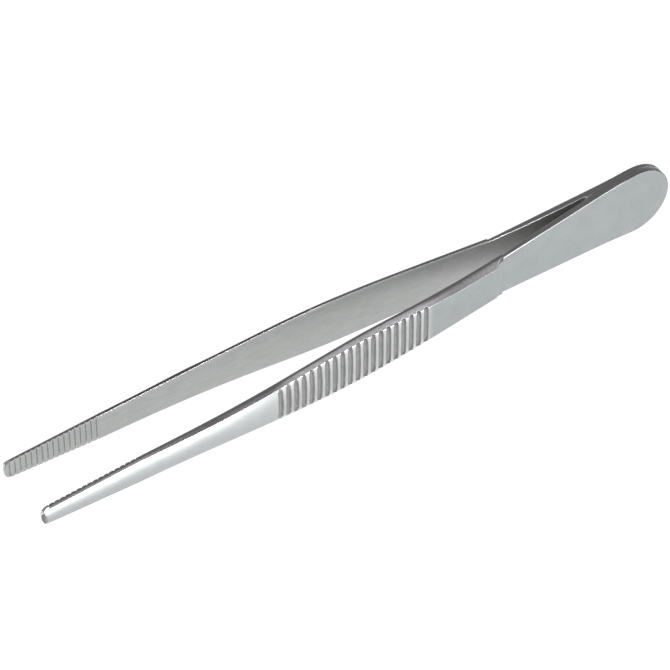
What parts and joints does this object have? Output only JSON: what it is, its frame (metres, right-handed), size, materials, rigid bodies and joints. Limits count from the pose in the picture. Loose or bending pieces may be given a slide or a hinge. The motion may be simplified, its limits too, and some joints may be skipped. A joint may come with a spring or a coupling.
{
  "type": "thumb forceps",
  "caption": "Thumb forceps: two spring arms welded face to face at a round tail, with ribbed grips, bevelled shanks and straight jaws with cross teeth.",
  "frame": {"origin": "centre of the footprint, on the surface that the lower edge of the round tail rests on", "axes": "+X along the forceps from the jaw tips to the tail, +Y across the opening from the front arm to the rear arm, +Z across the width of the arms"},
  "size_m": [0.1304, 0.0142, 0.0139],
  "materials": {
    "steel": "satin"
  },
  "bodies": {
    "root": {"front_arm": "steel", "rear_arm": "steel"}
  },
  "joints": []
}
